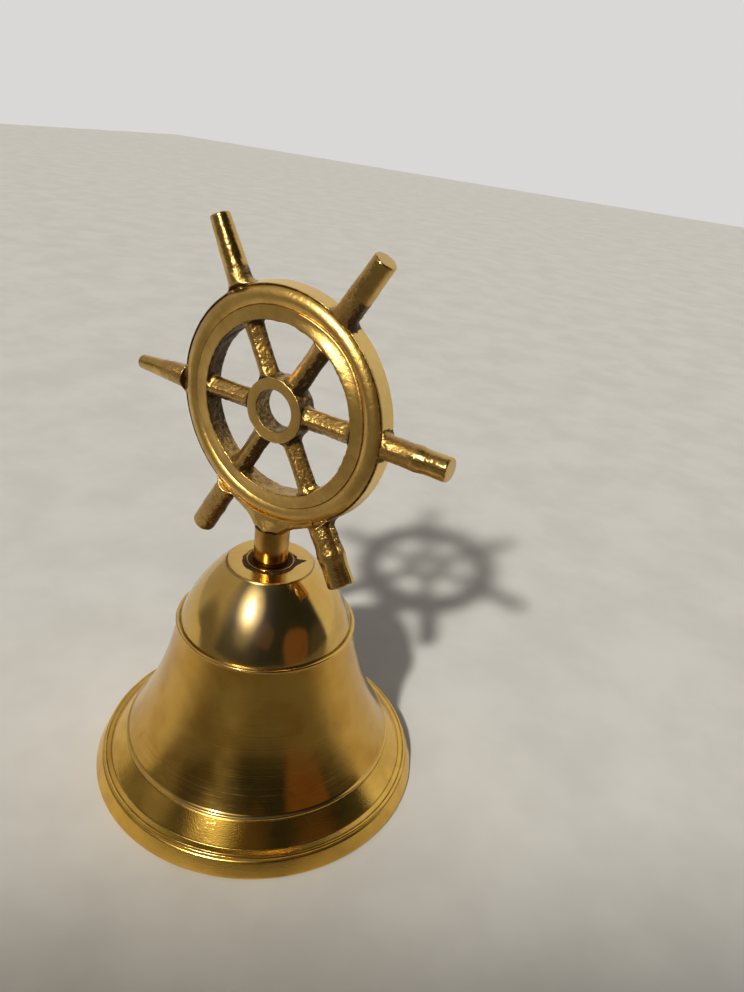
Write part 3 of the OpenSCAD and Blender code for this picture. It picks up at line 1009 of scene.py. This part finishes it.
def stem_boss():
    """The web under the rim that holds the stem, wide at the rim and close round the stem below."""
    bottom, top = boss_low[2], boss_high[2]

    def body(points):
        x, y, z = points[:, 0], points[:, 1], points[:, 2]
        up = np.clip((z - bottom) / (WHEEL_Z - RIM_R + 0.9 - bottom), 0, 1.3)
        half_x = STEM_R + 0.28 + 4.2 * up ** 1.3
        half_y = STEM_R + 0.26 - 1.2 * up
        d = (np.sqrt((x / half_x) ** 2 + (y / half_y) ** 2) - 1) * np.minimum(half_x, half_y)
        ragged = bottom - z + 0.25 + 0.65 * noise(points, 2.0, 31) + 0.25 * noise(points, 0.8, 32)
        return -smooth_min(-d, -ragged, 0.25)

    def piece(points):
        r, w = wheel_place(points)
        b = body(points)
        d = with_skin(smooth_min(b, rim_distance(points), 1.6), points, b, 30, lambda some: 0.7)
        d = clear_of(d + 0.03, rim_distance(points))
        behind = w - RIM_HALF + 0.05 - 1.2 * np.maximum(0, r - RIM_R + 0.30)
        return np.maximum(np.maximum(d, behind), RIM_R - 1.6 - r)

    low = np.array([-11.0, -5.2, bottom - 1.0])
    high = np.array([11.0, 5.2, top + 4.5])
    points, faces, _ = solid_mesh(piece, low, high)
    # painted shade along the underside of the web, over a little grime
    under = fade(points[:, 2], bottom + 0.7, bottom - 0.1)
    marks = {"rough": np.full(len(points), 0.35), "crease": 0.15 + 0.30 * under}
    cast_piece("stem_boss", points, faces, marks)


# ---- under the crown

def inner_washer():
    base, top, r = washer_low[2], washer_high[2], washer_high[0]
    outline = (
        [(SHANK_R, base + 0.06), (SHANK_R + 0.08, base)]
        + line((SHANK_R + 0.1, base), (r - 0.2, base), 0.8)
        + arc((r - 0.2, base), (r, base + 0.2), 0.06, 0.06)
        + [(r, base + 0.3), (r - 0.03, top - 0.06), (r - 0.1, top)]
        + line((r - 0.3, top), (SHANK_R + 0.1, top), 0.8)
        + [(SHANK_R, top - 0.06)]
    )
    steps = 96
    turned_piece("inner_washer_punched", turned(outline, steps), steps, FASTENER_STEEL, ["inner_washer"],
                 "root", "fastener_steel")


def lock_nut():
    """Hexagon nut with both ends chamfered by a cone."""
    base, top = nut_low[2], nut_high[2]
    flat = (nut_high[1] - nut_low[1]) / 2
    hole = 2.5
    steps = 180
    side = math.radians(60)
    reach = flat / np.cos((full_turn(steps) + side / 2) % side - side / 2)
    reach = np.minimum(reach, flat / math.cos(side / 2) - 0.08)
    chamfer = (reach - flat + 0.12) * math.tan(side / 2)
    rows = [
        (hole, base + 0.3), (hole + 0.35, base), (flat - 0.12, base), (reach, base + chamfer),
        (reach, (base + top) / 2), (reach, top - chamfer), (flat - 0.12, top), (hole + 0.35, top),
        (hole, top - 0.3),
    ]
    points = np.stack([rings(r, z, steps) for r, z in rows])
    turned_piece("lock_nut_hexagon", points, steps, FASTENER_STEEL, ["lock_nut"], "root", "fastener_steel",
                 sharp=22)


def ring_points(ring_r, start, end, count, centre, plane):
    """Points on a ring from one angle to another, in the XZ or the YZ plane."""
    turn = np.radians(np.linspace(start, end, count))
    a, z = ring_r * np.cos(turn), centre + ring_r * np.sin(turn)
    zero = 0 * a
    return np.stack([a, zero, z] if plane == "XZ" else [zero, a, z], -1)


EYE_WIRE_R = 1.0
EYE_RING_R = (bolt_high[0] - bolt_low[0]) / 2 - EYE_WIRE_R
EYE_Z = bolt_low[2] + EYE_WIRE_R + EYE_RING_R


def eye_bolt():
    """A bolt with a rolled thread and an eye bent from its own wire, its end closed against the shank."""
    shank_r, pitch = 2.45, 0.8
    base, top = EYE_Z + EYE_RING_R - 0.2, bolt_high[2]
    steps, rows = 64, int((top - base) / 0.1)
    z = np.linspace(base + 0.5, top - 0.3, rows)
    phase = (z[:, None] / pitch - full_turn(steps)[None] / (2 * math.pi)) % 1
    cut = 0.26 * np.abs(2 * phase - 1)
    runout = fade(z, base + 0.5, base + 1.3) * fade(z, top - 0.3, top - 0.9)
    thread = rings(shank_r - cut * runout[:, None] - 0.02, z[:, None], steps)
    foot = [rings(1.6, base, steps), rings(2.2, base + 0.25, steps)]
    points = np.concatenate([foot, thread, [rings(2.0, top, steps)]]).reshape(-1, 3)
    faces = capped_faces(rows + 3, steps)
    loop = ring_points(EYE_RING_R, 96, 448, 90, EYE_Z, "XZ")
    eye = tube(loop, EYE_WIRE_R * 0.995, 24)
    points, faces = joined((points, faces), eye)
    make_piece("eye_bolt_bent", points, faces, FASTENER_STEEL, ["eye_bolt"], "root", "fastener_steel",
               sharp=50)


def clapper_link():
    """A wire ring closed by hand, with a fine gap left at its joint."""
    wire_r = (link_high[0] - link_low[0]) / 2
    ring_r = (link_high[1] - link_low[1]) / 2 - wire_r
    centre = (link_high[2] + link_low[2]) / 2
    loop = ring_points(ring_r, 14, 369.5, 96, centre, "YZ")
    points, faces = tube(loop, wire_r * 0.99, 24, (1, 0, 0))
    make_piece("clapper_link_ring", points, faces, FASTENER_STEEL, ["clapper_link"], "link",
               "fastener_steel")


def clapper_rod():
    """Brass wire bent into an eye whose end lies against the rod."""
    eye_wire, rod_wire = 0.9, 1.08
    eye_r = (rod_high[0] - rod_low[0]) / 2 - eye_wire
    eye_z = rod_high[2] - eye_wire - eye_r
    loop = ring_points(eye_r, -62, 262, 84, eye_z, "XZ")
    start = loop[-1]
    straight_top = np.array([0, 0, eye_z - eye_r - 1.7])
    straight_end = np.array([0, 0, rod_low[2]])
    share = np.linspace(0, 1, 14)[1:, None]
    bend = start + (straight_top - start) * share
    bend[:, 0] = start[0] * (1 - share[:, 0]) ** 2
    straight = straight_top + (straight_end - straight_top) * np.linspace(0, 1, 30)[1:, None]
    path = np.concatenate([loop, bend, straight])
    radii = [np.full(len(loop), eye_wire * 0.99), np.linspace(eye_wire, rod_wire, len(bend))]
    radii.append(np.full(len(straight), rod_wire))
    points, faces = tube(path, np.concatenate(radii), 24)
    make_piece("clapper_rod_wire", points, faces, CLAPPER_BRASS, ["clapper_rod"], "clapper",
               "clapper_brass")


def clapper_ball():
    """Turned ball with a collar where the rod enters, a small flat below and a worn striking band."""
    r = ball_high[0]
    centre = ball_low[2] + r
    body = [(r * math.cos(t), centre + r * math.sin(t)) for t in np.radians(np.linspace(-76, 66, 72))]
    neck = centre + r * math.sin(math.radians(66))
    outline = (
        [(0.05, centre + 1.9), (0.05, centre - r * 0.97 + 0.02), (0.9, centre - r * 0.97 + 0.02)]
        + body
        + arc((body[-1][0] - 0.1, neck + 0.12), (1.75, ball_high[2] - 0.05), -0.12, 0.12)
        + [(1.65, ball_high[2] + 0.1), (1.45, ball_high[2] + 0.2), (1.12, ball_high[2] + 0.2)]
        + [(1.12, centre + 2.0)]
    )
    steps = 160
    points = turned(outline, steps).reshape(-1, 3)
    worn = hump(points[:, 2] - centre, 1.3)
    shrink = 1 - (0.004 * worn + 0.002 * noise(points, 1.3, 40))
    points[:, :2] *= shrink[:, None]
    turned_piece("clapper_ball_turned", points, steps, CLAPPER_BRASS, ["clapper_ball"], "clapper",
                 "clapper_brass")


# ---- stage, light and camera

def stage_floor():
    """A wide plain pale floor, in metres."""
    reach = 2.0
    corners = [(-reach, -reach, 0), (reach, -reach, 0), (reach, reach, 0), (-reach, reach, 0)]
    mesh = bpy.data.meshes.new("floor")
    mesh.from_pydata(corners, [], [(0, 1, 2, 3)])
    t = Material("floor_paint")
    color = t.mix(t.ramp(t.noise(30, 3, 0.6), 0.3, 0.7), (0.54, 0.53, 0.515, 1), (0.49, 0.48, 0.465, 1))
    normal = t.bump(t.noise(2.0, 4, 0.6), 0.06, 0.2)
    mesh.materials.append(t.finish(color, 0.7, normal, 0.0))
    floor = bpy.data.objects.new("floor", mesh)
    bpy.context.scene.collection.objects.link(floor)


def toward(azimuth, elevation):
    """Unit vector to a place given in degrees: to the right of straight ahead of the bell, and up."""
    a, e = math.radians(azimuth), math.radians(elevation)
    return Vector((math.sin(a) * math.cos(e), -math.cos(a) * math.cos(e), math.sin(e)))


def world_light():
    """A pale studio. Reflections see a white surround with one large dim opening towards the front."""
    world = bpy.data.worlds.new("studio")
    bpy.context.scene.world = world
    world.use_nodes = True
    t = Tree(world.node_tree)
    t.tree.nodes.clear()
    ray = t.node("TexCoord").outputs["Generated"]
    wobble = t.node("TexNoise", Vector=ray, Scale=2.2, Detail=3.0).outputs["Fac"]
    soft = t.times(t.math("SUBTRACT", wobble, 0.5), 0.10)

    def patch(under, place, edge, color, uneven=0.0):
        """A round patch over what is under it. edge is how closely a ray has to point to the place, as the
        cosine between them, for the patch to begin and to be full."""
        n = t.node("VectorMath")
        n.operation = "DOT_PRODUCT"
        t.link(ray, n.inputs[0])
        n.inputs[1].default_value = toward(*place)
        return t.mix(t.ramp(t.add(n.outputs["Value"], uneven), *edge), under, color)

    # the dim opening: a dark room with a glow, and two skin-toned patches
    room = patch((0.030, 0.032, 0.029, 1), (-20, 25), (0.55, 0.98), (0.075, 0.070, 0.055, 1), soft)
    room = patch(room, (78, 8), (0.945, 0.975), (0.150, 0.085, 0.045, 1), soft)
    room = patch(room, (35, 24), (0.980, 0.994), (0.085, 0.060, 0.036, 1), soft)
    color = patch((0.56, 0.545, 0.52, 1), (39, 6), (0.06, 0.20), room, soft)
    # a grey left side with a darker middle, and a dark strip to the right
    color = patch(color, (-75, 20), (0.55, 0.92), (0.34, 0.32, 0.29, 1))
    color = patch(color, (-50, 0), (0.90, 0.985), (0.15, 0.14, 0.12, 1))
    color = patch(color, (110, 2), (0.955, 0.985), (0.07, 0.065, 0.055, 1))
    # the window's haze and its bright middle, and a dark ceiling
    color = patch(color, (5, 24), (0.955, 0.995), (0.17, 0.16, 0.12, 1))
    color = patch(color, (5, 43), (0.920, 0.996), (0.75, 0.71, 0.55, 1))
    color = patch(color, (0, 90), (0.82, 0.94), (0.10, 0.10, 0.09, 1))
    seen = t.mix(t.node("LightPath").outputs["Is Camera Ray"], color, (0.60, 0.59, 0.585, 1))
    background = t.node("Background", Color=seen, Strength=1.0)
    t.node("OutputWorld", Surface=background.outputs[0])


def key_light():
    """A large panel with a narrow beam, high at the front. The floor beyond a line in front of the bell and
    to its right lies below the beam and stays dim."""
    size, distance = 4.0, 0.8
    edge_turn, edge_away = math.radians(34), 0.050
    back = toward(5, 40)
    edge = Vector((math.cos(edge_turn), math.sin(edge_turn), 0))
    edge_point = Vector((edge.y, -edge.x, 0)) * edge_away
    side = (edge - back * edge.dot(back)).normalized()
    up = back.cross(side)
    light = bpy.data.lights.new("key", "AREA")
    light.shape = "SQUARE"
    light.size = size
    light.spread = math.radians(5)
    light.energy = 3.2 * size * size
    light.color = (1.0, 0.97, 0.90)
    lamp = bpy.data.objects.new("key", light)
    turn = Matrix((side, up, back)).transposed()
    lamp.matrix_world = Matrix.Translation(edge_point + back * distance + up * size / 2) @ turn.to_4x4()
    bpy.context.scene.collection.objects.link(lamp)


def camera():
    """The photograph's viewpoint: from the front right, 26 degrees above, rolled a little."""
    roll = math.radians(7.31)
    target = Vector((23.16, 0, 78.09)) * MM
    distance = 150.2 * MM
    back = toward(28.87, 26.04)
    right = Vector((0, 0, 1)).cross(back).normalized()
    up = back.cross(right)
    rolled_right = right * math.cos(roll) + up * math.sin(roll)
    rolled_up = up * math.cos(roll) - right * math.sin(roll)
    turn = Matrix((rolled_right, rolled_up, back)).transposed()
    data = bpy.data.cameras.new("camera")
    data.sensor_width = 36
    data.lens = 28.31
    data.clip_start = 0.01
    data.clip_end = 20
    view = bpy.data.objects.new("camera", data)
    view.matrix_world = Matrix.Translation(target + back * distance) @ turn.to_4x4()
    bpy.context.scene.collection.objects.link(view)
    bpy.context.scene.camera = view


# ---- building

camera()
bell_shell()
packing_ring()
stem_collar()
handle_stem()
stem_boss()
wheel_rim()
wheel_hub()
for arm in range(1, ARM_COUNT + 1):
    spoke(arm, arm_direction(arm))
    grip(arm, arm_direction(arm))
inner_washer()
lock_nut()
eye_bolt()
clapper_link()
clapper_rod()
clapper_ball()
stage_floor()
world_light()
key_light()
bpy.context.scene.view_settings.view_transform = "Standard"
bpy.context.scene.view_settings.look = "Medium High Contrast"
